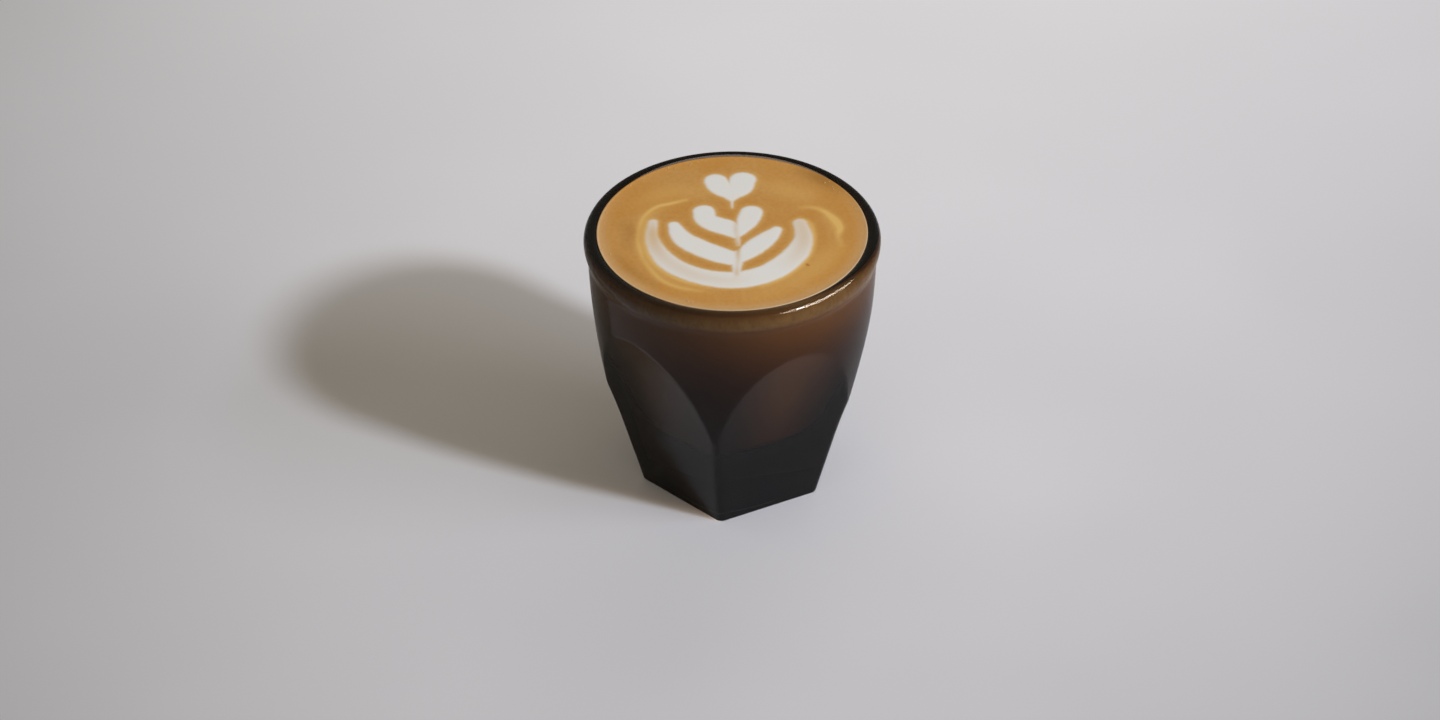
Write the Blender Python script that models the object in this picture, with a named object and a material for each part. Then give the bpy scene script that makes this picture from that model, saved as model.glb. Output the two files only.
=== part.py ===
"""A cortado with poured milk art, in the smoky glass that holds it.

The wall of the glass is round above and five-sided below, and each flat side ends in an arch where it meets
the round wall. The glass has a column of points at every corner and a ring of points that follows the arches,
so both stay clean. The drink fills it almost to the brim, and its milk stands up in low relief.
Lengths are in metres. The pattern faces -Y, and the glass stands on the floor at Z = 0.
"""

import math

import bpy

# Driving sizes of the glass: a bead at the lip stands out from a wall that curves in towards the foot
GLASS_HEIGHT = 0.0760
RIM_RADIUS = 0.0385
LIP_RADIUS = 0.0366
LIP_RISE = 0.0025
BEAD_DROP = 0.0034
BEAD_DEPTH = 0.0010
WALL_TAPER = 0.0313
WALL_SWELL = 2.07

# The five sides: straight from the foot, then flaring towards the arch that ends each of them
FACETS = 5
FOOT_TURN = math.radians(-8.35)
FOOT_APOTHEM = 0.01972
FACET_TAPER = 0.2251
FACET_FLARE = 2.39
FLARE_START = 0.0193
CORNER_RADIUS = 0.0019
FOOT_EDGE = 0.0008

# Angles in degrees from the middle of a side to its corner, at which the glass has a column of points
SIDE_ANGLES = (0.0, 4.75, 9.5, 14.25, 19.0, 24.0, 29.0, 33.0, 34.6, 36.0)

# The hollow inside, and the shallow recess underneath
FLOOR_HEIGHT = 0.0215
FLOOR_FILLET = 0.007
CAVITY_LOW = (0.0196, 0.0275)
CAVITY_HIGH = (0.03447, 0.0744)
CAVITY_SWELL = 0.0019
RECESS_RADIUS = 0.0145
RECESS_DEPTH = 0.0012

# The drink
DRINK_LEVEL = 0.0755
DRINK_STEPS = 80
DRINK_GAP = 0.0003
FOAM_RELIEF = 0.00035
FOAM_BEVEL = 0.00025
FOAM_ROOT = 0.0006

# The milk pattern: each petal is a brush stroke, as (x, y, half width) in millimetres along its middle
PETALS = {
    "heart_left": ((-4.2, 23.9, 3.1), (-3.0, 20.8, 3.0), (-1.0, 17.3, 1.6), (0.0, 14.4, 0.3)),
    "heart_right": ((2.9, 24.4, 3.5), (2.1, 20.6, 3.3), (0.9, 17.2, 1.5), (0.0, 14.4, 0.3)),
    "upper_left": ((-7.4, 9.9, 2.8), (-6.6, 6.2, 3.0), (-3.8, 3.7, 3.3), (-0.8, 2.0, 3.1), (1.1, -2.2, 0.5)),
    "upper_right": ((5.1, 9.4, 2.9), (4.0, 5.4, 2.9), (2.6, 1.6, 1.8), (1.4, -2.0, 0.4)),
    "middle_left": (
        (-15.1, 3.8, 1.5),
        (-13.4, -1.2, 2.6),
        (-10.2, -5.1, 3.3),
        (-4.2, -9.4, 3.3),
        (0.2, -11.6, 3.0),
    ),
    "middle_right": (
        (11.5, 1.4, 1.4),
        (9.2, -2.2, 2.6),
        (5.9, -6.4, 3.1),
        (3.0, -10.1, 2.4),
        (1.6, -12.4, 1.4),
    ),
    "stem": ((1.2, -9.0, 1.0), (1.2, -13.0, 1.5), (1.1, -16.8, 1.1), (1.0, -19.5, 1.6)),
    "cradle": (
        (-20.5, 5.2, 1.2),
        (-20.6, -3.0, 1.8),
        (-16.9, -12.5, 2.9),
        (-9.5, -18.9, 3.3),
        (0.4, -21.3, 3.7),
        (9.4, -18.0, 3.7),
        (16.0, -10.2, 3.4),
        (18.4, -2.4, 2.4),
        (17.6, 4.4, 1.8),
    ),
}
SHARP_ANGLE = 28.0
STROKE_STEPS = 5
STROKE_END_STEPS = 6
MM = 0.001


def clear_scene():
    """Remove the objects of the startup scene."""
    for obj in list(bpy.data.objects):
        bpy.data.objects.remove(obj, do_unlink=True)


def make_material(name, colour, roughness, transmission=0.0, ior=1.45):
    """A Principled material with one colour, set directly on its sockets."""
    material = bpy.data.materials.new(name)
    material.use_nodes = True
    shader = material.node_tree.nodes["Principled BSDF"]
    shader.inputs["Base Color"].default_value = (*colour, 1.0)
    shader.inputs["Roughness"].default_value = roughness
    shader.inputs["Metallic"].default_value = 0.0
    shader.inputs["Transmission Weight"].default_value = transmission
    shader.inputs["IOR"].default_value = ior
    return material


def add_object(name, points, edges, faces):
    """Link a new mesh object made from points, edges and faces."""
    mesh = bpy.data.meshes.new(name)
    mesh.from_pydata(points, edges, faces)
    obj = bpy.data.objects.new(name, mesh)
    bpy.context.scene.collection.objects.link(obj)
    return obj


def arc(centre, radii, start, end, steps):
    """Points (r, z) on part of an ellipse, with its angles in degrees."""
    angles = [math.radians(start + (end - start) * i / steps) for i in range(steps + 1)]
    return [(centre[0] + radii[0] * math.cos(a), centre[1] + radii[1] * math.sin(a)) for a in angles]


def wall_radius(height):
    """Radius of the round outer wall under the bead of the lip."""
    drop = GLASS_HEIGHT - LIP_RISE - BEAD_DROP - height
    return RIM_RADIUS - BEAD_DEPTH - WALL_TAPER * drop - WALL_SWELL * drop**2


def side_radius(offset, height):
    """Distance from the axis to a side, at an angle from its middle, with the corners and the foot rounded."""
    flare = max(height - FLARE_START, 0.0)
    tuck = max(FOOT_EDGE - height, 0.0)
    rounding = FOOT_EDGE - math.sqrt(FOOT_EDGE**2 - tuck**2)
    apothem = FOOT_APOTHEM + FACET_TAPER * height + FACET_FLARE * flare**2 - rounding
    half = math.pi / FACETS
    if apothem * math.tan(abs(offset)) <= (apothem - CORNER_RADIUS) * math.tan(half):
        return apothem / math.cos(offset)
    reach = (apothem - CORNER_RADIUS) / math.cos(half)
    turn = half - abs(offset)
    return reach * math.cos(turn) + math.sqrt(CORNER_RADIUS**2 - (reach * math.sin(turn)) ** 2)


def arch_height(offset, halvings=40):
    """Height at which a side meets the round wall, at an angle from the middle of the side."""
    low, high = FOOT_EDGE, GLASS_HEIGHT - LIP_RISE - BEAD_DROP
    for _ in range(halvings):
        middle = (low + high) / 2
        if side_radius(offset, middle) < wall_radius(middle):
            low = middle
        else:
            high = middle
    return (low + high) / 2


def columns():
    """Each column of the glass, as its angle round the axis and its angle from the middle of its side."""
    angles = [math.radians(a) for a in SIDE_ANGLES]
    offsets = [-a for a in reversed(angles[1:])] + angles[:-1]
    found = []
    for side in range(FACETS):
        middle = FOOT_TURN - math.pi / 2 + math.pi / FACETS * (2 * side + 1)
        found += [(middle + offset, offset) for offset in offsets]
    return found


def bead_profile(steps=5):
    """The bead from the wall out to the widest circle: half a cosine wave."""
    widest = GLASS_HEIGHT - LIP_RISE
    points = []
    for i in range(1, steps + 1):
        share = i / steps
        radius = RIM_RADIUS - BEAD_DEPTH * (1 + math.cos(math.pi * share)) / 2
        points.append((radius, widest - BEAD_DROP * (1 - share)))
    return points


def cavity_profile(gap, steps=8):
    """The inner wall from the lip down to the edge of the floor, drawn in by a gap."""
    low, high = CAVITY_LOW, CAVITY_HIGH
    points = []
    for i in range(steps + 1):
        share = i / steps
        radius = high[0] + (low[0] - high[0]) * share + CAVITY_SWELL * 4 * share * (1 - share)
        points.append((radius - gap, high[1] + (low[1] - high[1]) * share))
    drop = low[1] - FLOOR_HEIGHT - gap
    return points + arc((low[0] - gap - FLOOR_FILLET, low[1]), (FLOOR_FILLET, drop), 0, -90, 5)[1:]


def round_profile():
    """The (r, z) points of the turned part of the glass: bead, lip, inner wall and floor."""
    widest = GLASS_HEIGHT - LIP_RISE
    outer_lip = arc((LIP_RADIUS, widest), (RIM_RADIUS - LIP_RADIUS, LIP_RISE), 0, 90, 4)
    inner_size = (LIP_RADIUS - CAVITY_HIGH[0], GLASS_HEIGHT - CAVITY_HIGH[1])
    inner_lip = arc((LIP_RADIUS, CAVITY_HIGH[1]), inner_size, 90, 180, 4)
    return bead_profile() + outer_lip[1:] + inner_lip[1:] + cavity_profile(0.0)[1:]


def outer_rings(side_rows=12, wall_rows=6):
    """The rings up the outside, as one (r, z) for each column: foot, sides, and the wall over the arches."""
    places = columns()
    arches = [arch_height(offset) for _, offset in places]
    rings = []
    for height in (0.0, 0.25 * FOOT_EDGE, 0.6 * FOOT_EDGE, FOOT_EDGE):
        rings.append([(side_radius(offset, height), height) for _, offset in places])
    for i in range(1, side_rows + 1):
        heights = [FOOT_EDGE + (arch - FOOT_EDGE) * i / side_rows for arch in arches]
        rings.append([(side_radius(place[1], z), z) for place, z in zip(places, heights)])
    wall_top = GLASS_HEIGHT - LIP_RISE - BEAD_DROP
    for i in range(1, wall_rows + 1):
        heights = [arch + (wall_top - arch) * i / wall_rows for arch in arches]
        rings.append([(wall_radius(z), z) for z in heights])
    return rings


def build_glass():
    """The smoky glass, as rings of points from the recess underneath, over the lip, to the floor inside."""
    angles = [angle for angle, _ in columns()]
    count = len(angles)
    recess = arc((0.0, 0.0), (RECESS_RADIUS, RECESS_DEPTH), 90, 0, 4)[1:]
    rings = [[point] * count for point in recess]
    rings += outer_rings()
    rings += [[point] * count for point in round_profile()]
    points = [(r * math.cos(a), r * math.sin(a), z) for ring in rings for (r, z), a in zip(ring, angles)]
    under, floor = len(points), len(points) + 1
    points += [(0.0, 0.0, RECESS_DEPTH), (0.0, 0.0, FLOOR_HEIGHT)]
    faces = []
    last = (len(rings) - 1) * count
    for i in range(count):
        j = (i + 1) % count
        faces.append((under, j, i))
        faces.append((last + i, last + j, floor))
        for start in range(0, last, count):
            faces.append((start + i, start + j, start + count + j, start + count + i))
    glass = add_object("glass", points, [], faces)
    glass.data.shade_smooth()
    glass.data.set_sharp_from_angle(angle=math.radians(SHARP_ANGLE))
    glass.data.materials.append(make_material("smoky_glass", (0.20, 0.17, 0.15), 0.03, 1.0, 1.5))
    return glass


def turned(name, profile, steps):
    """An object whose (r, z) profile is turned round the Z axis. The profile runs down the outer side."""
    points = [(r, 0.0, z) for r, z in profile]
    obj = add_object(name, points, [(i, i + 1) for i in range(len(points) - 1)], [])
    screw = obj.modifiers.new("Turn", "SCREW")
    screw.axis = "Z"
    screw.steps = steps
    screw.render_steps = steps
    screw.use_merge_vertices = True
    screw.merge_threshold = 0.00001
    screw.use_smooth_shade = True
    return obj


def between(before, start, end, after, t):
    """A point at share t between start and end, on a smooth curve that passes through both."""
    return tuple(
        0.5 * (2 * b + (c - a) * t + (2 * a - 5 * b + 4 * c - d) * t**2 + (3 * b - a - 3 * c + d) * t**3)
        for a, b, c, d in zip(before, start, end, after)
    )


def smooth_stroke(points):
    """The stroke's points with more between them, as (x, y, half width) in metres."""
    first = tuple(2 * a - b for a, b in zip(points[0], points[1]))
    last = tuple(2 * a - b for a, b in zip(points[-1], points[-2]))
    padded = [first, *points, last]
    smooth = []
    for i in range(len(points) - 1):
        for step in range(STROKE_STEPS):
            smooth.append(between(*padded[i : i + 4], step / STROKE_STEPS))
    smooth.append(points[-1])
    return [tuple(value * MM for value in point) for point in smooth]


def stroke_outline(points, inset):
    """The closed outline of a stroke with round ends, anticlockwise and drawn in by an inset."""
    left, right = [], []
    headings = []
    for i, (x, y, half_width) in enumerate(points):
        before, after = points[max(i - 1, 0)], points[min(i + 1, len(points) - 1)]
        heading = math.atan2(after[1] - before[1], after[0] - before[0])
        headings.append(heading)
        width = max(half_width - inset, 0.2 * half_width)
        left.append((x - width * math.sin(heading), y + width * math.cos(heading)))
        right.append((x + width * math.sin(heading), y - width * math.cos(heading)))

    def round_end(point, start):
        width = max(point[2] - inset, 0.2 * point[2])
        angles = [start + math.pi * i / STROKE_END_STEPS for i in range(1, STROKE_END_STEPS)]
        return [(point[0] + width * math.cos(a), point[1] + width * math.sin(a)) for a in angles]

    head = round_end(points[-1], headings[-1] - math.pi / 2)
    tail = round_end(points[0], headings[0] + math.pi / 2)
    return right + head + list(reversed(left)) + tail


def build_petal(name, points):
    """One stroke of milk: its root lies under the drink's surface, and its top edge is eased."""
    stroke = smooth_stroke(points)
    side = stroke_outline(stroke, 0.0)
    top = stroke_outline(stroke, FOAM_BEVEL)
    crest = DRINK_LEVEL + FOAM_RELIEF
    layers = ((side, DRINK_LEVEL - FOAM_ROOT), (side, crest - FOAM_BEVEL), (top, crest))
    vertices = [(x, y, z) for outline, z in layers for x, y in outline]
    count = len(side)
    faces = [tuple(reversed(range(count)))]
    for layer in range(2):
        a, b = layer * count, (layer + 1) * count
        faces += [(a + i, a + (i + 1) % count, b + (i + 1) % count, b + i) for i in range(count)]
    faces.append(tuple(range(2 * count, 3 * count)))
    return add_object(name, vertices, [], faces)


def apply_modifiers(obj):
    """Replace an object's mesh by the one that its modifiers make."""
    graph = bpy.context.evaluated_depsgraph_get()
    mesh = bpy.data.meshes.new_from_object(obj.evaluated_get(graph))
    obj.modifiers.clear()
    obj.data = mesh


def build_coffee():
    """The drink up to its level, with the milk pattern joined to it."""
    top = [(0.0, DRINK_LEVEL), (CAVITY_HIGH[0] - DRINK_GAP, DRINK_LEVEL)]
    bottom = [(0.0, FLOOR_HEIGHT + DRINK_GAP)]
    coffee = turned("coffee", top + cavity_profile(DRINK_GAP) + bottom, DRINK_STEPS)
    coffee.data.materials.append(make_material("milk_coffee", (0.46, 0.24, 0.075), 0.4))
    petals = bpy.data.collections.new("petals")
    bpy.context.scene.collection.children.link(petals)
    for name, points in PETALS.items():
        petal = build_petal(name, points)
        bpy.context.scene.collection.objects.unlink(petal)
        petals.objects.link(petal)
    join = coffee.modifiers.new("Milk", "BOOLEAN")
    join.operation = "UNION"
    join.solver = "EXACT"
    join.operand_type = "COLLECTION"
    join.collection = petals
    apply_modifiers(coffee)
    for petal in list(petals.objects):
        bpy.data.objects.remove(petal, do_unlink=True)
    bpy.data.collections.remove(petals)
    coffee.data.set_sharp_from_angle(angle=math.radians(SHARP_ANGLE))
    return coffee


def main():
    clear_scene()
    build_glass()
    build_coffee()


main()
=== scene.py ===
"""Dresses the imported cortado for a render: smoky glass, milk coffee, poured pattern and studio.

Lengths are in metres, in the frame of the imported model. The pattern faces -Y, where the camera stands.
"""

import math

import bpy
import numpy as np
from bpy.props import FloatProperty, FloatVectorProperty, IntProperty, PointerProperty
from mathutils import Matrix, Vector


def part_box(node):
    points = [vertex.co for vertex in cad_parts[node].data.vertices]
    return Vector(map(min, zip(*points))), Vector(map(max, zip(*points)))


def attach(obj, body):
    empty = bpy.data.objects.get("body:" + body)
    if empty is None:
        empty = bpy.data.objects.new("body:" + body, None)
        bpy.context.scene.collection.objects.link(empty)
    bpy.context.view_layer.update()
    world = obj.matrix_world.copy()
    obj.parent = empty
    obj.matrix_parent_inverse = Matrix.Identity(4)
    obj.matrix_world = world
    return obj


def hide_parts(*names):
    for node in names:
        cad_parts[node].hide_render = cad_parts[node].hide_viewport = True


bl_info = {
    "name": "Cortado in a Smoky Glass",
    "version": (1, 0, 0),
    "blender": (4, 5, 0),
    "location": "3D View > Sidebar > Cortado",
    "description": "Dresses a packed cortado with its smoky glass, milk coffee, foam pattern and studio",
    "category": "Object",
}

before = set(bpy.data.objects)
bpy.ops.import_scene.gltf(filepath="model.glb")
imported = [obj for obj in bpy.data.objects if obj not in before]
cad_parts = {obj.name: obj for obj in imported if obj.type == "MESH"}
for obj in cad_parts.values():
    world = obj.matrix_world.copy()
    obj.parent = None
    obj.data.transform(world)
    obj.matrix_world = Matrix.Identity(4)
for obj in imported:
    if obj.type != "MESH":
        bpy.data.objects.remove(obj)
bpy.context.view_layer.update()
GLASS_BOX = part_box("glass")
GLASS_HEIGHT = GLASS_BOX[1].z
RIM_RADIUS = GLASS_BOX[1].x

MM = 0.001

# The milk pattern: each stroke is (x, y, half width) in millimetres along its middle
STROKES = {
    "heart_left": ((-4.2, 23.9, 3.1), (-3.0, 20.8, 3.0), (-1.0, 17.3, 1.6), (0.0, 14.4, 0.3)),
    "heart_right": ((2.9, 24.4, 3.5), (2.1, 20.6, 3.3), (0.9, 17.2, 1.5), (0.0, 14.4, 0.3)),
    "upper_left": (
        (-7.4, 9.9, 2.8), (-6.6, 6.2, 3.0), (-3.8, 3.7, 3.3), (-0.8, 2.0, 3.1), (1.1, -2.2, 0.5),
    ),
    "upper_right": ((5.1, 9.4, 2.9), (4.0, 5.4, 2.9), (2.6, 1.6, 1.8), (1.4, -2.0, 0.4)),
    "middle_left": (
        (-15.1, 3.8, 1.5), (-13.4, -1.2, 2.6), (-10.2, -5.1, 3.3), (-4.2, -9.4, 3.3), (0.2, -11.6, 3.0),
    ),
    "middle_right": (
        (11.5, 1.4, 1.4), (9.2, -2.2, 2.6), (5.9, -6.4, 3.1), (3.0, -10.1, 2.4), (1.6, -12.4, 1.4),
    ),
    "heart_tail": ((0.0, 14.4, 0.4), (0.1, 11.4, 0.1)),
    "upper_tail": ((1.3, -1.8, 0.6), (1.6, -5.6, 0.45)),
    "stem": ((1.2, -9.0, 1.0), (1.2, -13.0, 1.5), (1.1, -16.8, 1.1), (1.0, -19.5, 1.6)),
    "cradle": (
        (-20.5, 5.2, 1.2), (-20.6, -3.0, 1.8), (-16.9, -12.5, 2.9), (-9.5, -18.9, 3.3), (0.4, -21.3, 3.7),
        (9.4, -18.0, 3.7), (16.0, -10.2, 3.4), (18.4, -2.4, 2.4), (17.6, 4.4, 1.8),
    ),
}

# Marks along paths: a width in millimetres, then points (x, y, strength).
# In the crema, a pale mark has a strength above 0, and a dark one below it.
MARKS = (
    (0.7, (
        (-11.9, 15.3, 0.6), (-16.1, 13.6, 0.9), (-19.2, 12.4, 0.8), (-21.8, 9.6, 0.7),
        (-23.6, 5.4, 0.6), (-24.4, -2.0, 0.5), (-23.8, -7.5, 0.6), (-22.5, -12.9, 0.4),
        (-18.6, -20.6, 0.6), (-14.0, -24.3, 0.5), (-7.8, -26.1, 0.2),
    )),
    (2.0, (
        (-15.0, 13.6, 0.1), (-20.5, 9.5, 0.3), (-23.5, 1.0, 0.35), (-22.5, -8.0, 0.35),
        (-19.5, -17.5, 0.3), (-12.0, -24.5, 0.3), (-4.0, -26.5, 0.1),
    )),
    (0.9, (
        (18.0, 11.6, 0.3), (21.3, 11.4, 0.6), (23.8, 9.8, 0.8), (26.0, 7.0, 1.0),
        (27.3, 4.6, 1.0), (28.0, 1.8, 1.0), (27.4, -1.6, 0.6), (28.2, -6.2, 0.2),
    )),
    (1.8, (
        (24.0, 9.0, 0.2), (26.6, 4.8, 0.6), (27.0, 1.0, 0.3),
    )),
    (0.9, (
        (17.5, 6.6, 0.3), (20.2, 3.9, 0.7), (20.9, -0.7, 0.8), (20.7, -5.2, 0.8),
        (19.4, -10.7, 0.8), (16.4, -16.2, 0.7), (12.2, -20.8, 0.6), (7.5, -24.2, 0.3),
    )),
    (0.8, (
        (-21.7, 5.2, 0.3), (-22.3, -0.2, 0.5), (-21.9, -6.6, 0.6), (-20.5, -12.2, 0.7),
        (-17.8, -16.9, 0.6), (-14.1, -20.5, 0.7), (-9.9, -22.9, 0.6), (-5.8, -24.2, 0.3),
    )),
    (3.6, (
        (-24.0, 14.0, 0.15), (-17.0, 18.5, 0.35), (-9.0, 19.0, 0.2),
    )),
    (3.4, (
        (8.5, 22.5, 0.15), (14.0, 19.5, 0.35), (19.5, 16.5, 0.25),
    )),
    (3.8, (
        (6.0, -28.0, 0.2), (14.0, -23.0, 0.3), (21.0, -16.0, 0.4), (26.5, -8.0, 0.25),
    )),
    (2.6, (
        (19.0, 28.0, -0.4), (23.5, 24.5, -0.7), (27.5, 19.5, -0.3),
    )),
    (2.4, (
        (-28.0, 4.5, -0.2), (-26.0, 0.5, -0.4), (-27.0, -5.0, -0.2),
    )),
    (2.0, (
        (-30.0, -10.0, -0.2), (-26.0, -17.0, -0.35), (-20.0, -23.5, -0.2),
    )),
    (0.3, (
        (19.1, -14.3, -1.2), (19.5, -14.9, -1.4),
    )),
)

# Where the milk is thinned with crema: down the line of the last pull, and at both horns of the crescent
THINNED = (
    (0.7, (
        (0.9, 7.5, 0.0), (0.95, 4.5, 0.4), (0.95, 1.0, 0.5), (1.2, -1.5, 0.4),
        (1.5, -6.0, 0.9), (1.45, -9.5, 0.8), (1.45, -12.5, 0.45), (1.3, -15.0, 0.4),
        (1.1, -18.0, 0.7), (1.0, -20.0, 0.1),
    )),
    (2.4, (
        (-20.5, 5.0, 0.45), (-20.5, 0.0, 0.95), (-19.8, -6.0, 0.75), (-17.0, -12.0, 0.45),
        (-13.0, -16.5, 0.4), (-8.0, -19.8, 0.35), (0.0, -21.5, 0.2), (7.0, -19.5, 0.0),
    )),
    (2.6, (
        (17.7, 4.2, 0.6), (18.5, -2.0, 0.65), (17.6, -7.5, 0.45), (15.0, -12.5, 0.2),
        (11.0, -17.0, 0.0),
    )),
)
STROKE_STEPS = 8

# The hollow of the glass and the recess underneath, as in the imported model
FLOOR_HEIGHT = 0.0215
FLOOR_FILLET = 0.007
CAVITY_LOW = (0.0196, 0.0275)
CAVITY_HIGH = (0.03447, 0.0744)
CAVITY_SWELL = 0.0019
RECESS_RADIUS = 0.0145
RECESS_DEPTH = 0.0012

# Rows of points across the foot: two counted out from the recess, and one in from the middle of a side
FOOT_ROWS = (0.0002, 0.0012, 0.0016)

# The radius of a row of points on the floor inside
FLOOR_ROW = 0.006

# The floor's painted light, which falls off towards its sides: at the glass, per metre in x and y, and per
# square metre in x², y² and xy
FLOOR_PAINTED_LIGHT = (0.93, 0.05, 0.92, -5.7, -0.5, 1.5)

# Soft patches of painted light and shade on the floor: x, y, radius in metres and strength
FLOOR_PAINTED_PATCHES = ((-0.15, 0.05, 0.055, -0.075), (-0.02, -0.063, 0.045, -0.07), (0.057, 0.005, 0.035, 0.07))
FLOOR_DARKEST = 0.6
FLOOR_LIGHTEST = 1.2

# How far the coffee and the crema reach into the wall, so that no air gap shows
WALL_REACH = 0.00008
CREMA_REACH = WALL_REACH + 0.00002

# How far the coffee rises inside the crema
CREMA_OVERLAP = 0.001

# The air under the foot, which keeps the pale floor from showing through it
FLOOR_GAP = 0.00003

# Half the width of the floor
FLOOR_REACH = 3.0

GLASS_IOR = 1.5

# Points nearer than these are merged, in the glass and on the axis of the coffee
WELD_DISTANCE = 0.000002
AXIS_WELD = 0.00001
COFFEE_COLUMNS = 180

# The painted shade on the lip's crest, for the dark that light bent inside the thick lip shows: where it
# starts and is full, below the top
CREST_PAINTED_SHADE_BAND = (0.0010, 0.0003)

# The coffee seen through the glass, painted darker low down as shade where less light reaches: its shade low
# down, and the heights between which it brightens
PAINTED_DEEP_SHADE = 0.66
PAINTED_DEEP_FADE = (0.042, 0.066)

# How far below the surface the crema has its full colour, and how far its lower edge wavers
CREMA_FADE_END = 0.002
CREMA_WAVER = 0.003

# The painted band of light under the crema, where light bent through the lip's bead falls: its depth, and the
# distances from it between which it fades
LIGHT_BAND_DEPTH = 0.0043
LIGHT_BAND_FADE = (0.0003, 0.0020)

# The foam's edge: the width that it rises over, and its share of that already risen at the outline
FOAM_SLOPE = 0.0016
FOAM_START = 0.4
MENISCUS_REACH = 0.0007

# The stored depth in the milk of points that aren't on the surface, in metres
OFF_SURFACE = -0.01

# Distances from the milk's outline where the milk and its cream halo fade, in millimetres
MILK_FADE = (-0.55, 0.65)
HALO_FADE = (-1.8, 0.3)

# The painted glow of light that comes through the lip onto the crema near the glass, and the pale line at the
# glass, partly the crema's own paler edge and partly painted light: both distances are in from the edge.
# Both are painted at the front only, where the light comes in, and fade away between these two values of y.
PAINTED_GLOW_FADE = (0.0042, 0.0006)
EDGE_FADE = (0.0009, 0.0002)
LIT_FRONT_FADE = (-0.005, 0.025)

# Colours that the crema, the milk and the bubbles vary towards, with the painted glow and the partly painted
# pale edge at the glass
TONES = {
    "pale crema": (0.59, 0.325, 0.10),
    "dark grain": (0.45, 0.20, 0.037),
    "pale mark": (0.73, 0.45, 0.13),
    "dark mark": (0.32, 0.145, 0.025),
    # Painted light: the glow of light through the lip, and the pale edge at the glass, partly painted light
    "painted_glow": (0.60, 0.40, 0.20),
    "edge": (0.62, 0.48, 0.30),
    "halo": (0.72, 0.47, 0.16),
    "clotted milk": (0.80, 0.74, 0.60),
    "thinned milk": (0.66, 0.48, 0.28),
    "dark bubble": (0.50, 0.29, 0.10),
    "pale bubble": (0.62, 0.43, 0.22),
}

# Bubbles: the smallest as a share of the largest, their turn along the edge in radians, and the seed
SMALLEST_BUBBLE = 0.3
BUBBLE_TURN = 0.02
BUBBLE_SEED = 7

# The camera's sensor in millimetres, and how far the camera sees
SENSOR_WIDTH = 36.0
SIGHT = 20.0


class GlassSettings(bpy.types.PropertyGroup):
    """Sizes and tint of the glass."""

    lip_radius: FloatProperty(
        name="Lip radius", description="Middle of the lip's crest", default=0.0366, unit="LENGTH")
    lip_rise: FloatProperty(
        name="Lip rise", description="Lip above the widest circle", default=0.0025, unit="LENGTH")
    bead_drop: FloatProperty(
        name="Bead drop", description="Widest circle to the wall", default=0.0052, unit="LENGTH")
    wall_top: FloatProperty(
        name="Wall top", description="Height that the wall's curve is counted from",
        default=0.0701, unit="LENGTH")
    bead_depth: FloatProperty(
        name="Bead depth", description="How far the bead stands out", default=0.0010, unit="LENGTH")
    wall_taper: FloatProperty(
        name="Wall taper", description="Slope of the wall under the bead", default=0.0313)
    wall_swell: FloatProperty(
        name="Wall swell", description="Curve of the wall, per metre", default=2.07)
    sides: IntProperty(name="Sides", description="Flat sides round the foot", default=5, min=3)
    foot_turn: FloatProperty(
        name="Foot turn", description="Angle of the front corner past -Y",
        default=math.radians(-8.35), subtype="ANGLE")
    foot_apothem: FloatProperty(
        name="Foot apothem", description="Axis to the middle of a side at the foot",
        default=0.01972, unit="LENGTH")
    side_taper: FloatProperty(
        name="Side taper", description="Slope of a side at the foot", default=0.2251)
    side_flare: FloatProperty(name="Side flare", description="Curve of a side, per metre", default=2.39)
    flare_start: FloatProperty(
        name="Flare start", description="Height where a side starts to flare",
        default=0.0193, unit="LENGTH")
    corner_radius: FloatProperty(
        name="Corner radius", description="Rounding of a corner", default=0.0019, unit="LENGTH")
    foot_edge: FloatProperty(
        name="Foot edge", description="Rounding of the foot's edge", default=0.0004, unit="LENGTH")
    crease: FloatProperty(
        name="Crease", description="Softness of the arch between a side and the wall",
        default=0.00015, unit="LENGTH")
    tint: FloatVectorProperty(
        name="Tint", description="Colour that the glass lets through",
        default=(0.41, 0.275, 0.14), subtype="COLOR")
    tint_depth: FloatProperty(name="Tint depth", description="Absorption per metre", default=300.0)
    shine: FloatProperty(
        name="Shine", description="Share of a polished glass's reflections that shows",
        default=0.5, min=0.0, max=1.0)
    roughness: FloatProperty(
        name="Roughness", description="Blur of the reflections", default=0.03, min=0.0, max=1.0)
    # Strength of the painted shade on the lip's crest
    lip_painted_shade: FloatProperty(
        name="Lip shade", description="Darkening of the lip's crest", default=0.5, min=0.0, max=1.0)
    columns: IntProperty(name="Columns", description="Points round the glass", default=360, min=60)


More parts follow.
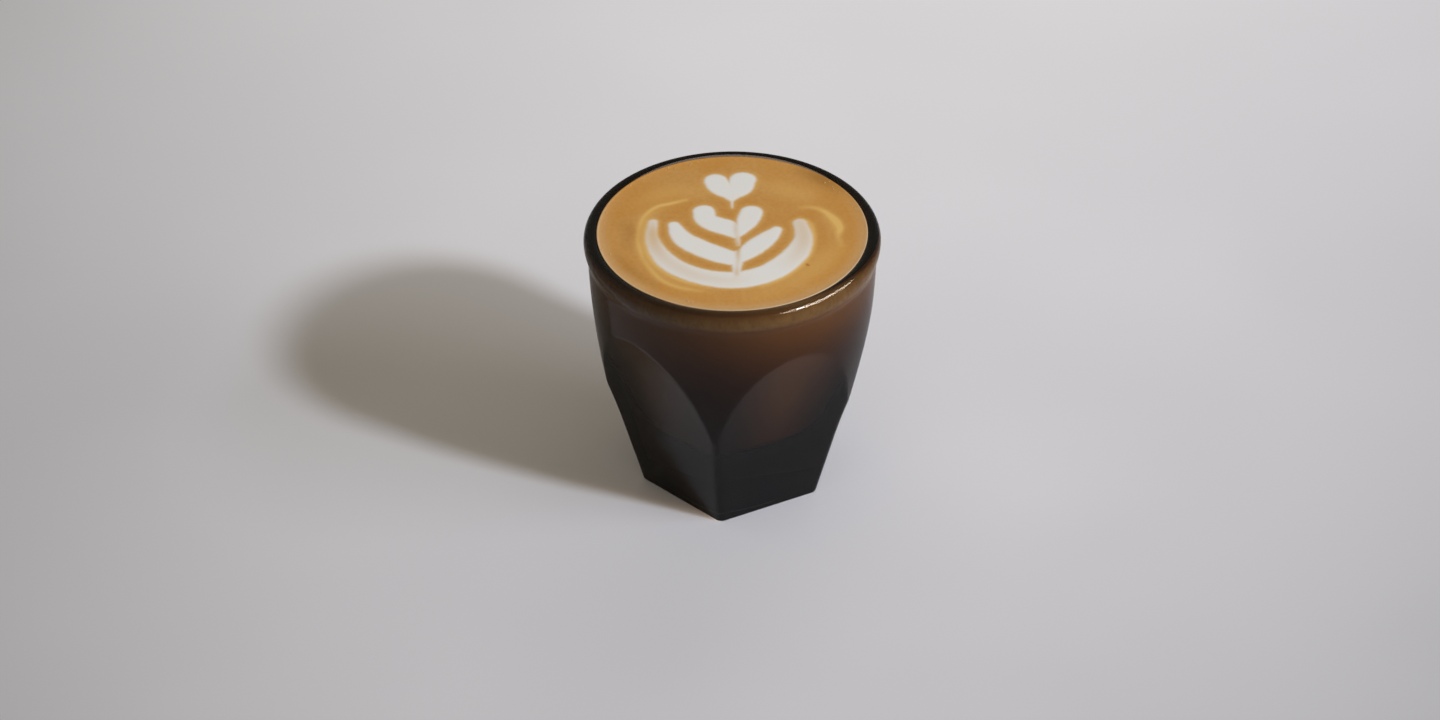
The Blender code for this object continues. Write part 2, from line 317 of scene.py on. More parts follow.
class DrinkSettings(bpy.types.PropertyGroup):
    """Sizes and colours of the milk coffee."""

    level: FloatProperty(
        name="Level", description="Height of the drink's surface", default=0.0755, unit="LENGTH")
    radius: FloatProperty(
        name="Radius", description="Radius of the surface", default=0.0351, unit="LENGTH")
    relief: FloatProperty(
        name="Relief", description="Height of the milk foam", default=0.00006, unit="LENGTH")
    meniscus: FloatProperty(
        name="Meniscus", description="Climb at the glass", default=0.00025, unit="LENGTH")
    crema_depth: FloatProperty(
        name="Crema depth", description="Thickness of the crema", default=0.007, unit="LENGTH")
    crema: FloatVectorProperty(
        name="Crema", description="Colour of the crema", default=(0.56, 0.27, 0.058), subtype="COLOR")
    milk: FloatVectorProperty(
        name="Milk", description="Colour of the milk foam", default=(0.77, 0.76, 0.71), subtype="COLOR")
    coffee: FloatVectorProperty(
        name="Coffee", description="Colour of the milky coffee below",
        default=(0.64, 0.37, 0.12), subtype="COLOR")
    # The colour of the painted band of light under the crema
    ring: FloatVectorProperty(
        name="Ring", description="Colour of the pale line under the crema",
        default=(1.0, 0.84, 0.32), subtype="COLOR")
    bubbles: IntProperty(name="Bubbles", description="Bubbles tried round the edge", default=220, min=3)
    bubble_size: FloatProperty(
        name="Bubble size", description="Radius of the largest bubble", default=0.0003, unit="LENGTH")
    bubble_spread: FloatProperty(
        name="Bubble spread", description="How far in from the edge bubbles lie",
        default=0.0022, unit="LENGTH")
    squares: IntProperty(name="Squares", description="Squares across the surface", default=250, min=20)


class StageSettings(bpy.types.PropertyGroup):
    """The floor, the lights and the camera."""

    floor_colour: FloatVectorProperty(
        name="Floor colour", description="Colour of the floor",
        default=(0.76, 0.75, 0.75), subtype="COLOR")
    light_colour: FloatVectorProperty(
        name="Light colour", description="Colour of the window and fill lights",
        default=(0.955, 1.0, 1.13), subtype="COLOR", max=2.0)
    light_distance: FloatProperty(
        name="Light distance", description="Glass to the lights", default=2.6, unit="LENGTH")
    light_elevation: FloatProperty(
        name="Light elevation", description="Angle of the lights above the floor",
        default=math.radians(36.8), subtype="ANGLE")
    window_power: FloatProperty(
        name="Window power", description="Power of the window light", default=41.0, unit="POWER")
    window_size: FloatProperty(
        name="Window size", description="Width of the window light", default=0.26, unit="LENGTH")
    window_azimuth: FloatProperty(
        name="Window azimuth", description="Direction of the window light from +X",
        default=math.radians(-35), subtype="ANGLE")
    fill_power: FloatProperty(
        name="Fill power", description="Power of the broad light round it", default=17.0, unit="POWER")
    fill_width: FloatProperty(
        name="Fill width", description="Width of the broad light", default=1.5, unit="LENGTH")
    fill_azimuth: FloatProperty(
        name="Fill azimuth", description="Direction of the broad light from +X",
        default=math.radians(-22), subtype="ANGLE")
    glint_colour: FloatVectorProperty(
        name="Glint colour", description="Colour of the strip that lights the glass alone",
        default=(1.15, 0.97, 0.74), subtype="COLOR", max=2.0)
    glint_power: FloatProperty(
        name="Glint power", description="Power of that strip", default=150.0, unit="POWER")
    glint_width: FloatProperty(
        name="Glint width", description="Width of that strip", default=3.0, unit="LENGTH")
    glint_height: FloatProperty(
        name="Glint height", description="Height of that strip", default=1.4, unit="LENGTH")
    glint_azimuth: FloatProperty(
        name="Glint azimuth", description="Direction of that strip from +X",
        default=math.radians(-18), subtype="ANGLE")
    sky: FloatVectorProperty(
        name="Sky", description="Light from all round", default=(0.352, 0.320, 0.268), subtype="COLOR")
    distance: FloatProperty(
        name="Distance", description="Camera to its target", default=1.925, unit="LENGTH")
    elevation: FloatProperty(
        name="Elevation", description="Camera's angle above the floor", default=0.6205, subtype="ANGLE")
    roll: FloatProperty(
        name="Roll", description="Camera's turn about its axis", default=-0.006, subtype="ANGLE")
    focal_length: FloatProperty(name="Focal length", description="Lens, in millimetres", default=183.8)
    target_x: FloatProperty(
        name="Target X", description="Target beside the axis", default=-0.00334, unit="LENGTH")
    target_z: FloatProperty(
        name="Target height", description="Target above the floor", default=0.03514, unit="LENGTH")


class Field:
    """A number socket in a node tree. Python's arithmetic on it adds the Math nodes."""

    def __init__(self, tree, socket):
        self.tree = tree
        self.socket = socket

    def math(self, operation, *others, clamp=False):
        values = {i + 1: other for i, other in enumerate(others)}
        settings = {"operation": operation, "use_clamp": clamp}
        return self.tree.add("ShaderNodeMath", settings, {0: self, **values})

    def __add__(self, other):
        return self.math("ADD", other)

    def __sub__(self, other):
        return self.math("SUBTRACT", other)

    def __mul__(self, other):
        return self.math("MULTIPLY", other)

    def __truediv__(self, other):
        return self.math("DIVIDE", other)

    def __rsub__(self, other):
        return self.tree.add("ShaderNodeMath", {"operation": "SUBTRACT"}, {0: other, 1: self})

    __radd__ = __add__
    __rmul__ = __mul__


class Tree:
    """A node tree, filled one node at a time by type, settings and socket values or links."""

    def __init__(self, tree):
        self.tree = tree

    def add(self, kind, settings=None, inputs=None, output=0):
        node = self.tree.nodes.new(kind)
        for name, value in (settings or {}).items():
            setattr(node, name, value)
        for key, value in (inputs or {}).items():
            socket = node.inputs[key] if isinstance(key, int) else self.find(node.inputs, key)
            if isinstance(value, Field):
                self.tree.links.new(value.socket, socket)
            else:
                socket.default_value = value
        if not node.outputs:
            return node
        found = node.outputs[output] if isinstance(output, int) else self.find(node.outputs, output)
        return Field(self, found)

    @staticmethod
    def find(sockets, key):
        """The socket with that identifier, or else that name."""
        for socket in sockets:
            if socket.identifier == key:
                return socket
        return sockets[key]

    def axis(self, vector, name):
        """A vector's X, Y or Z."""
        return self.add("ShaderNodeSeparateXYZ", None, {0: vector}, name)

    def mix(self, factor, a, b):
        """Two colours mixed by a factor."""
        inputs = {"Factor_Float": factor, "A_Color": a, "B_Color": b}
        return self.add("ShaderNodeMix", {"data_type": "RGBA"}, inputs, "Result_Color")

    def scaled(self, factor, values):
        """A colour times a number."""
        red, green, blue = (factor * value for value in values)
        return self.add("ShaderNodeCombineColor", None, {"Red": red, "Green": green, "Blue": blue})

    def step(self, value, low, high):
        """0 below low, 1 above high, and a smooth rise between."""
        settings = {"interpolation_type": "SMOOTHSTEP"}
        return self.add("ShaderNodeMapRange", settings, {"Value": value, "From Min": low, "From Max": high})

    def noise(self, position, scale, detail=3.0, roughness=0.5, distortion=0.0):
        inputs = {
            "Vector": position,
            "Scale": scale,
            "Detail": detail,
            "Roughness": roughness,
            "Distortion": distortion,
        }
        return self.add("ShaderNodeTexNoise", None, inputs, "Fac")


def colour(values):
    return (*values, 1.0)


def new_material(name):
    """A material, its tree, and the place on the piece as that tree's first node."""
    material = bpy.data.materials.new(name)
    material.use_nodes = True
    material.node_tree.nodes.clear()
    tree = Tree(material.node_tree)
    return material, tree, tree.add("ShaderNodeTexCoord", None, None, "Object")


def finish_opaque(tree, shade, roughness, specular, **others):
    """End a material's tree with an opaque surface."""
    inputs = {"Base Color": shade, "Roughness": roughness, "Specular IOR Level": specular, **others}
    surface = tree.add("ShaderNodeBsdfPrincipled", None, inputs)
    tree.add("ShaderNodeOutputMaterial", None, {"Surface": surface})


def link_object(name, mesh):
    obj = bpy.data.objects.new(name, mesh)
    bpy.context.scene.collection.objects.link(obj)
    return obj


def arc(centre, radii, start, end, steps):
    """Points (r, z) on part of an ellipse, with its angles in degrees."""
    angles = [math.radians(start + (end - start) * i / steps) for i in range(steps + 1)]
    return [(centre[0] + radii[0] * math.cos(a), centre[1] + radii[1] * math.sin(a)) for a in angles]


def cavity_profile(reach, steps=60, fillet_steps=16):
    """The inner wall from under the lip down to the edge of the floor, grown outwards by a reach."""
    low, high = CAVITY_LOW, CAVITY_HIGH
    points = []
    for i in range(steps + 1):
        share = i / steps
        radius = high[0] + (low[0] - high[0]) * share + CAVITY_SWELL * 4 * share * (1 - share)
        points.append((radius + reach, high[1] + (low[1] - high[1]) * share))
    drop = low[1] - FLOOR_HEIGHT + reach
    middle = (low[0] + reach - FLOOR_FILLET, low[1])
    return points + arc(middle, (FLOOR_FILLET, drop), 0, -90, fillet_steps)[1:]


def glass_profile(glass):
    """The outline of the glass as (r, z): the recess, up the outside, and down to the floor inside."""
    widest = GLASS_HEIGHT - glass.lip_rise
    bead_foot = widest - glass.bead_drop
    recess_rows, edge_rows, wall_rows, bead_rows, lip_rows, inner_rows = 16, 6, 120, 16, 20, 16
    recess = arc((0.0, 0.0), (RECESS_RADIUS, RECESS_DEPTH), 90, 0, recess_rows)
    recess[0] = (0.0, RECESS_DEPTH)
    near, far, inset = FOOT_ROWS
    foot = [(r, 0.0) for r in (RECESS_RADIUS + near, RECESS_RADIUS + far, glass.foot_apothem - inset)]
    heights = [glass.foot_edge * (1 - math.cos(math.pi / 2 * i / edge_rows)) for i in range(edge_rows + 1)]
    climb = bead_foot - glass.foot_edge
    heights += [glass.foot_edge + climb * i / wall_rows for i in range(1, wall_rows + 1)]
    heights += [bead_foot + glass.bead_drop * i / bead_rows for i in range(1, bead_rows + 1)]
    wall = []
    for z in heights:
        drop = glass.wall_top - z
        radius = RIM_RADIUS - glass.bead_depth - glass.wall_taper * drop
        radius -= glass.wall_swell * max(drop, 0.0) ** 2
        share = min(max((z - bead_foot) / glass.bead_drop, 0.0), 1.0)
        blend = share * share * (3 - 2 * share)
        wall.append((radius + (RIM_RADIUS - radius) * blend, z))
    outer_size = (RIM_RADIUS - glass.lip_radius, glass.lip_rise)
    outer_lip = arc((glass.lip_radius, widest), outer_size, 0, 90, lip_rows)
    inner_size = (glass.lip_radius - CAVITY_HIGH[0], GLASS_HEIGHT - CAVITY_HIGH[1])
    inner_lip = arc((glass.lip_radius, CAVITY_HIGH[1]), inner_size, 90, 180, inner_rows)
    floor = [(FLOOR_ROW, FLOOR_HEIGHT), (0.0, FLOOR_HEIGHT)]
    return recess + foot + wall + outer_lip[1:] + inner_lip[1:] + cavity_profile(0.0)[1:] + floor


def side_field(tree, angle, z, inputs):
    """Distance from the axis to the flat sides, at an angle and a height, with rounded corners and foot."""
    sides, apothem, taper, flare, start, corner, edge = inputs
    wedge = 2 * math.pi / sides
    half = math.pi / sides
    offset = (angle.math("FLOORED_MODULO", wedge) - half).math("ABSOLUTE")
    flared = (z - start).math("MAXIMUM", 0.0)
    tuck = (edge - z).math("MAXIMUM", 0.0)
    rounding = edge - (edge * edge - tuck * tuck).math("SQRT")
    middle = apothem + taper * z + flare * flared * flared - rounding
    flat = middle / offset.math("COSINE")
    reach = (middle - corner) / math.cos(half)
    turn = half - offset
    across = reach * turn.math("SINE")
    bulge = (corner * corner - across * across).math("MAXIMUM", 0.0).math("SQRT")
    rounded = reach * turn.math("COSINE") + bulge
    on_flat = (middle * offset.math("TANGENT")).math("LESS_THAN", (middle - corner) * math.tan(half))
    return rounded + (flat - rounded) * on_flat


# The inputs of both Geometry Nodes trees, by the kind of socket
SIDE_INPUTS = ("Foot Apothem", "Side Taper", "Side Flare", "Flare Start", "Corner Radius", "Foot Edge")
GLASS_INPUTS = {
    "NodeSocketInt": ("Columns",),
    "NodeSocketFloat": (*SIDE_INPUTS, "Crease", "Turn"),
    "NodeSocketMaterial": ("Material",),
}
BUBBLE_INPUTS = {
    "NodeSocketInt": ("Count", "Seed"),
    "NodeSocketFloat": ("Ring Radius", "Spread", "Level", "Smallest", "Largest"),
    "NodeSocketMaterial": ("Material",),
}


def new_geometry_tree(name, inputs):
    """A Geometry Nodes tree with a geometry input, named inputs and a geometry output."""
    group = bpy.data.node_groups.new(name, "GeometryNodeTree")
    group.interface.new_socket("Geometry", in_out="INPUT", socket_type="NodeSocketGeometry")
    for kind, labels in inputs.items():
        for label in labels:
            group.interface.new_socket(label, in_out="INPUT", socket_type=kind)
    group.interface.new_socket("Geometry", in_out="OUTPUT", socket_type="NodeSocketGeometry")
    tree = Tree(group)
    source = group.nodes.new("NodeGroupInput")
    given = {socket.name: Field(tree, socket) for socket in source.outputs if socket.name}
    return group, tree, given


def finish_geometry_tree(tree, geometry, material):
    """Turn instances into a mesh, give it its material and pass it out."""
    real = tree.add("GeometryNodeRealizeInstances", None, {0: geometry})
    dressed = tree.add("GeometryNodeSetMaterial", None, {"Geometry": real, "Material": material})
    tree.add("NodeGroupOutput", None, {0: dressed})


def faceted_glass_tree(sides):
    """Wraps an outline round the Z axis, kept inside flat sides by a smooth minimum of both radii."""
    group, tree, given = new_geometry_tree("Faceted Glass", GLASS_INPUTS)
    outline = given["Geometry"]
    rows = tree.add("GeometryNodeAttributeDomainSize", None, {0: outline})
    columns = given["Columns"]
    grid = tree.add("GeometryNodeMeshGrid", None, {"Vertices X": columns + 1.0, "Vertices Y": rows})
    index = tree.add("GeometryNodeInputIndex")
    column = (index / rows).math("FLOOR")
    row = index - column * rows
    position = tree.add("GeometryNodeInputPosition")
    settings = {"data_type": "FLOAT_VECTOR", "domain": "POINT"}
    inputs = {"Geometry": outline, "Value": position, "Index": row}
    point = tree.add("GeometryNodeSampleIndex", settings, inputs)
    radius = tree.axis(point, "X")
    height = tree.axis(point, "Z")
    angle = column / columns * (2 * math.pi)
    side = side_field(tree, angle, height, (sides, *(given[name] for name in SIDE_INPUTS)))
    kept = radius.math("SMOOTH_MIN", side, given["Crease"])
    turned = angle + given["Turn"]
    x = kept * turned.math("COSINE")
    y = kept * turned.math("SINE")
    place = tree.add("ShaderNodeCombineXYZ", None, {0: x, 1: y, 2: height})
    wrapped = tree.add("GeometryNodeSetPosition", None, {"Geometry": grid, "Position": place})
    welded = tree.add("GeometryNodeMergeByDistance", None, {"Geometry": wrapped, "Distance": WELD_DISTANCE})
    smooth = tree.add("GeometryNodeSetShadeSmooth", None, {"Geometry": welded, "Shade Smooth": True})
    finish_geometry_tree(tree, smooth, given["Material"])
    return group


def plain_mesh(obj, name):
    """The object's final mesh, under a name of its own. The object is removed."""
    graph = bpy.context.evaluated_depsgraph_get()
    mesh = bpy.data.meshes.new_from_object(obj.evaluated_get(graph))
    mesh.name = name
    obj.modifiers.clear()
    bpy.data.objects.remove(obj, do_unlink=True)
    return mesh


def grow(name, mesh, group, values):
    """The plain mesh object that a Geometry Nodes tree makes from a mesh."""
    seed = link_object(name + "_seed", mesh)
    modifier = seed.modifiers.new("Nodes", "NODES")
    modifier.node_group = group
    for item in group.interface.items_tree:
        if item.item_type == "SOCKET" and item.in_out == "INPUT" and item.name in values:
            modifier[item.identifier] = values[item.name]
    return link_object(name, plain_mesh(seed, name))


def outline_mesh(name, profile):
    mesh = bpy.data.meshes.new(name)
    mesh.from_pydata([(r, 0.0, z) for r, z in profile], [(i, i + 1) for i in range(len(profile) - 1)], [])
    return mesh


def smoky_glass_material(glass):
    """Polished glass with a smoky brown body, and painted shade on the lip's crest. Shadow rays pass straight
    through, and are darkened by the body.
    """
    material, tree, place = new_material("smoky_glass")
    start, full = CREST_PAINTED_SHADE_BAND
    crest = tree.step(tree.axis(place, "Z"), GLASS_HEIGHT - start, GLASS_HEIGHT - full)
    # Painted shade: the crest is darkened both in the light that passes through and in the base colour
    painted_crest_shade = crest * glass.lip_painted_shade
    white, black = colour((1.0, 1.0, 1.0)), colour((0.0, 0.0, 0.0))
    surface = tree.add("ShaderNodeBsdfPrincipled", None, {
        "Base Color": tree.mix(painted_crest_shade, white, black),
        "Roughness": glass.roughness,
        "IOR": GLASS_IOR,
        "Transmission Weight": 1.0,
    })
    clear, dark = (
        tree.add("ShaderNodeBsdfRefraction", None, {"Color": shade, "Roughness": 0.0, "IOR": GLASS_IOR})
        for shade in (white, black)
    )
    bent = tree.add("ShaderNodeMixShader", None, {0: painted_crest_shade, 1: clear, 2: dark})
    softened = tree.add("ShaderNodeMixShader", None, {0: glass.shine, 1: bent, 2: surface})
    straight = tree.add("ShaderNodeBsdfTransparent")
    shadow = tree.add("ShaderNodeLightPath", None, None, "Is Shadow Ray")
    shown = tree.add("ShaderNodeMixShader", None, {0: shadow, 1: softened, 2: straight})
    absorption = {"Color": colour(glass.tint), "Density": glass.tint_depth}
    body = tree.add("ShaderNodeVolumeAbsorption", None, absorption)
    tree.add("ShaderNodeOutputMaterial", None, {"Surface": shown, "Volume": body})
    return material


def between(before, start, end, after, t):
    """Points at shares t between start and end, on a smooth curve that passes through both."""
    t = t[:, None]
    a, b, c, d = (np.array(p) for p in (before, start, end, after))
    return 0.5 * (2 * b + (c - a) * t + (2 * a - 5 * b + 4 * c - d) * t**2 + (3 * b - a - 3 * c + d) * t**3)


def smooth_path(points):
    """The path's points with more between them: x and y in metres, and the third value as it was."""
    points = [np.array(p) * (MM, MM, 1.0) for p in points]
    padded = [2 * points[0] - points[1], *points, 2 * points[-1] - points[-2]]
    shares = np.arange(STROKE_STEPS) / STROKE_STEPS
    parts = [between(*padded[i : i + 4], shares) for i in range(len(points) - 1)]
    return np.vstack([*parts, points[-1]])


def on_segment(places, start, end):
    """For each place, its distance to a segment of a path and the path's third value there."""
    along = end[:2] - start[:2]
    share = np.clip((places - start[:2]) @ along / (along @ along), 0, 1)
    away = np.linalg.norm(places - start[:2] - share[:, None] * along, axis=1)
    return away, start[2] + share * (end[2] - start[2])


def nearest_on_path(places, path):
    """For each place, its distance to the path and the path's third value there."""
    best = np.full(len(places), np.inf)
    value = np.zeros(len(places))
    for start, end in zip(path[:-1], path[1:]):
        away, here = on_segment(places, start, end)
        closer = away < best
        best[closer], value[closer] = away[closer], here[closer]
    return best, value


def milk_depth(places):
    """How far inside the milk each place is, in metres, and negative outside it."""
    inside = np.full(len(places), -np.inf)
    for points in STROKES.values():
        path = smooth_path(points)
        for start, end in zip(path[:-1], path[1:]):
            away, half_width = on_segment(places, start, end)
            inside = np.maximum(inside, half_width * MM - away)
    return inside


def marks_at(places, marks):
    """The summed strength of soft marks along paths at each place."""
    strength = np.zeros(len(places))
    for width, points in marks:
        away, peak = nearest_on_path(places, smooth_path(points))
        strength += peak * np.exp(-((away / (width * MM)) ** 2))
    return strength


def disc_places(squares):
    """A square grid pressed into a unit disc, with a round edge and squares of even size."""
    line = np.linspace(-1, 1, squares + 1)
    a, b = np.meshgrid(line, line, indexing="ij")
    wide = np.abs(a) > np.abs(b)
    radius = np.where(wide, a, b)
    with np.errstate(divide="ignore", invalid="ignore"):
        angle = np.where(wide, math.pi / 4 * b / a, math.pi / 2 - math.pi / 4 * a / b)
    angle = np.nan_to_num(angle)
    return np.stack([radius * np.cos(angle), radius * np.sin(angle)], -1).reshape(-1, 2)


def ring_indices(squares):
    """The indices of the grid's edge points, anticlockwise."""
    n = squares + 1
    right = [squares * n + j for j in range(squares)]
    top = [i * n + squares for i in range(squares, 0, -1)]
    left = [j for j in range(squares, 0, -1)]
    bottom = [i * n for i in range(squares)]
    return right + top + left + bottom


def store(mesh, name, values):
    attribute = mesh.attributes.new(name, "FLOAT", "POINT")
    attribute.data.foreach_set("value", values.astype(np.float32))


def crema_mesh(drink):
    """The top of the drink, with low foam, a meniscus, its edge in the wall and a flat underside."""
    squares = drink.squares
    places = disc_places(squares) * drink.radius
    away = np.linalg.norm(places, axis=1)
    depth = milk_depth(places)
    rise = np.clip(depth / FOAM_SLOPE + FOAM_START, 0, 1)
    lift = drink.relief * rise * rise * (3 - 2 * rise)
    climb = drink.meniscus * np.exp(-(drink.radius - away) / MENISCUS_REACH)
    heights = drink.level + lift + climb
    n = squares + 1
    corner = (np.arange(squares)[:, None] * n + np.arange(squares)[None]).reshape(-1)
    top = np.stack([corner, corner + n, corner + n + 1, corner + 1], -1)
    ring = ring_indices(squares)
    count = len(ring)
    following = [(i + 1) % count for i in range(count)]
    edge = places[ring]
    edge_angle = np.arctan2(edge[:, 1], edge[:, 0])
    drops = [(z, r) for r, z in cavity_profile(CREMA_REACH) if z > drink.level - drink.crema_depth]
    points = [np.column_stack([places, heights])]
    faces = [tuple(face) for face in top]
    above = ring
    start = len(places)
    for z, r in drops:
        points.append(np.column_stack([r * np.cos(edge_angle), r * np.sin(edge_angle), np.full(count, z)]))
        below = list(range(start, start + count))
        faces += [(above[i], below[i], below[j], above[j]) for i, j in enumerate(following)]
        above = below
        start += count
    points.append(np.array([[0.0, 0.0, drops[-1][0]]]))
    faces += [(above[i], start, above[j]) for i, j in enumerate(following)]
    mesh = bpy.data.meshes.new("crema")
    mesh.from_pydata(np.vstack(points).tolist(), [], faces)
    padding = np.full(len(mesh.vertices) - len(places), OFF_SURFACE)
    store(mesh, "milk", np.concatenate([depth, padding]) / MM)
    store(mesh, "mark", np.concatenate([marks_at(places, MARKS), padding * 0]))
    store(mesh, "thinned", np.concatenate([marks_at(places, THINNED), padding * 0]))
    mesh.shade_smooth()
    return mesh


def coffee_mesh(drink):
    """The milky coffee under the crema, which reaches just into the wall of the glass."""
    top = drink.level - drink.crema_depth + CREMA_OVERLAP
    side = [(r, z) for r, z in cavity_profile(WALL_REACH) if z < top]
    profile = [(0.0, top), *side, (0.0, FLOOR_HEIGHT - WALL_REACH)]
    seed = link_object("milk_coffee_seed", outline_mesh("coffee_outline", profile))
    screw = seed.modifiers.new("Turn", "SCREW")
    screw.steps = screw.render_steps = COFFEE_COLUMNS
    screw.use_merge_vertices = True
    screw.merge_threshold = AXIS_WELD
    turned = plain_mesh(seed, "milk_coffee")
    turned.shade_smooth()
    return turned


def body_colour(tree, place, drink):
    """The drink's colour by height: golden crema above, milky coffee below with painted shade low down, and a
    painted band of light under the crema.
    """
    height = tree.axis(place, "Z")
    wavering = height + (tree.noise(place, 90.0, 3.0) - 0.5) * CREMA_WAVER
    share = tree.step(wavering, drink.level - drink.crema_depth, drink.level - CREMA_FADE_END)
    # Painted shade: the coffee darker low down, where less light reaches
    dark = colour([value * PAINTED_DEEP_SHADE for value in drink.coffee])
    coffee = tree.mix(tree.step(height, *PAINTED_DEEP_FADE), dark, colour(drink.coffee))
    body = tree.mix(share, coffee, colour(drink.crema))
    # Painted light: a bright band under the crema, where light bent through the lip falls
    off_light_band = (height - (drink.level - LIGHT_BAND_DEPTH)).math("ABSOLUTE")
    ring = 1.0 - tree.step(off_light_band, *LIGHT_BAND_FADE)
    return tree.mix(ring, body, colour(drink.ring))


def coffee_material(drink):
    material, tree, place = new_material("milky_coffee")
    finish_opaque(tree, body_colour(tree, place, drink), 0.6, 0.2)
    return material


def crema_material(drink):
    """Golden mottled crema, milk foam with soft cream edges, thin marks, and at the front a painted glow and
    a pale edge at the glass that is partly painted light.
    """
    material, tree, place = new_material("crema_and_milk")
    depth, mark, thinned = (
        tree.add("ShaderNodeAttribute", {"attribute_name": name}, None, "Fac")
        for name in ("milk", "mark", "thinned")
    )
    wobble = (tree.noise(place, 1100.0, 3.0) - 0.5) * 0.25 + (tree.noise(place, 300.0, 2.0) - 0.5) * 0.5
    edge = depth + wobble
    milk = tree.step(edge, *MILK_FADE)
    halo = tree.step(edge, *HALO_FADE)
    broad = tree.noise(place, 55.0, 4.0, 0.55, 0.8)
    fine = tree.noise(place, 900.0, 4.0, 0.6)
    base = body_colour(tree, place, drink)
    pale = tree.mix(tree.step(broad, 0.40, 0.68) * 0.6, base, colour(TONES["pale crema"]))
    grained = tree.mix(tree.step(fine, 0.35, 0.7) * 0.35, pale, colour(TONES["dark grain"]))
    lit = tree.mix(mark.math("MAXIMUM", 0.0, clamp=True), grained, colour(TONES["pale mark"]))
    shaded = tree.mix((mark * -1.0).math("MAXIMUM", 0.0, clamp=True), lit, colour(TONES["dark mark"]))
    x = tree.axis(place, "X")
    y = tree.axis(place, "Y")
    outwards = (x * x + y * y).math("SQRT") + (tree.noise(place, 500.0, 2.0) - 0.5) * 0.0008
    # Painted light at the front, where light comes through the lip: a glow near the glass, and a pale edge
    # line that is partly painted light
    front = 1.0 - tree.step(y, *LIT_FRONT_FADE)
    painted_glow = tree.step(outwards, drink.radius - PAINTED_GLOW_FADE[0], drink.radius - PAINTED_GLOW_FADE[1]) * front
    pale_edge_and_light = tree.step(outwards, drink.radius - EDGE_FADE[0], drink.radius - EDGE_FADE[1]) * front
    painted_glow_mix = tree.mix(painted_glow * 0.45, shaded, colour(TONES["painted_glow"]))
    with_pale_edge = tree.mix(pale_edge_and_light * 0.5, painted_glow_mix, colour(TONES["edge"]))
    creamy = tree.mix(halo * 0.45, with_pale_edge, colour(TONES["halo"]))
    clotted = tree.step(tree.noise(place, 160.0, 3.0), 0.42, 0.72) * 0.3
    whitened = tree.mix(clotted, colour(drink.milk), colour(TONES["clotted milk"]))
    foam = tree.mix(thinned.math("MINIMUM", 1.0), whitened, colour(TONES["thinned milk"]))
    shown = tree.mix(milk, creamy, foam)
    gloss = 0.52 - milk * 0.04 + fine * 0.1
    bubbles = tree.noise(place, 2600.0, 2.0)
    relief = {"Strength": 0.2, "Distance": 0.00003, "Height": bubbles + fine * 0.5}
    bumps = tree.add("ShaderNodeBump", None, relief)
    finish_opaque(tree, shown, gloss, 0.2, Normal=bumps)
    return material


def bubble_ring_tree():
    """Small spheres in loose groups round a circle, half sunk in the drink."""
    group, tree, given = new_geometry_tree("Bubble Ring", BUBBLE_INPUTS)
    round_edge = {"Vertices": given["Count"], "Radius": given["Ring Radius"]}
    circle = tree.add("GeometryNodeMeshCircle", None, round_edge)
    position = tree.add("GeometryNodeInputPosition")
    patches = tree.noise(position, 110.0, 1.0)
    sparse = {"Geometry": circle, "Selection": patches.math("LESS_THAN", 0.5)}
    kept = tree.add("GeometryNodeDeleteGeometry", {"domain": "POINT"}, sparse)

    def draw(low, high, offset):
        """A random number for each point, with its own seed."""
        inputs = {"Min_001": low, "Max_001": high, "Seed": given["Seed"] + offset}
        return tree.add("FunctionNodeRandomValue", {"data_type": "FLOAT"}, inputs, "Value_001")

    inwards = draw(0.0, 1.0, 0.0)
    share = 1.0 - inwards * inwards * (given["Spread"] / given["Ring Radius"])
    around = tree.axis(position, "Y").math("ARCTAN2", tree.axis(position, "X"))
    turn = around + draw(-BUBBLE_TURN, BUBBLE_TURN, 1.0)
    radius = share * given["Ring Radius"]
    x = radius * turn.math("COSINE")
    y = radius * turn.math("SINE")
    place = tree.add("ShaderNodeCombineXYZ", None, {0: x, 1: y, 2: given["Level"]})
    moved = tree.add("GeometryNodeSetPosition", None, {"Geometry": kept, "Position": place})
    size = draw(0.0, 1.0, 2.0)
    scale = given["Smallest"] + size * size * size * (given["Largest"] - given["Smallest"])
    ball = tree.add("GeometryNodeMeshUVSphere", None, {"Segments": 12, "Rings": 8, "Radius": 1.0})
    smooth = tree.add("GeometryNodeSetShadeSmooth", None, {"Geometry": ball, "Shade Smooth": True})
    copies = {"Points": moved, "Instance": smooth, "Scale": scale}
    dotted = tree.add("GeometryNodeInstanceOnPoints", None, copies)
    finish_geometry_tree(tree, dotted, given["Material"])
    return group


def bubble_material():
    """A wet film over pale foam."""
    material, tree, place = new_material("bubble_film")
    dark, pale = colour(TONES["dark bubble"]), colour(TONES["pale bubble"])
    shade = tree.mix(tree.noise(place, 700.0, 2.0), dark, pale)
    finish_opaque(tree, shade, 0.6, 0.1)
    return material


def stand_for(obj, node):
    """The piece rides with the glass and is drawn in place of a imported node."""
    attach(obj, "root")
    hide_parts(node)


